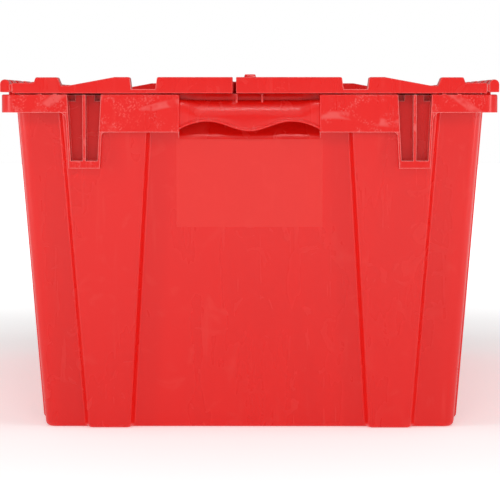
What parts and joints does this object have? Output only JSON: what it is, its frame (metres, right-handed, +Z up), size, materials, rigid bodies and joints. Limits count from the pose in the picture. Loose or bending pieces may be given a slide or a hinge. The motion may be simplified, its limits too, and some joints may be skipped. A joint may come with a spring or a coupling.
{
  "type": "attached lid tote",
  "caption": "Nestable plastic tote with drafted ribbed walls, rolled end grips, stacking lugs and two zigzag-seam lid halves hinged on steel rods along its long sides.",
  "frame": {"origin": "middle of the base, on the surface the tote stands on", "axes": "+Y along the tote's length, +X across it towards the right lid's hinge, +Z up"},
  "size_m": [0.429, 0.683, 0.3094],
  "materials": {
    "bin_plastic": "semi-gloss moulded polyethylene, fine grain",
    "lid_plastic": "semi-gloss moulded polyethylene, fine grain",
    "rod_steel": "galvanised wire rod, satin"
  },
  "bodies": {
    "tote": {"tote_body": "bin_plastic", "hinge_rod_right": "rod_steel", "hinge_rod_left": "rod_steel"},
    "right_lid": {"lid_right": "lid_plastic"},
    "left_lid": {"lid_left": "lid_plastic"}
  },
  "joints": [
    {"name": "right_lid_hinge", "type": "hinge", "parent": "tote", "child": "right_lid", "pos_m": [0.2103, 0, 0.3008], "axis": [0, 1, 0], "range_deg": [0, 242]},
    {"name": "left_lid_hinge", "type": "hinge", "parent": "tote", "child": "left_lid", "pos_m": [-0.2103, 0, 0.3008], "axis": [0, -1, 0], "range_deg": [0, 242]}
  ]
}
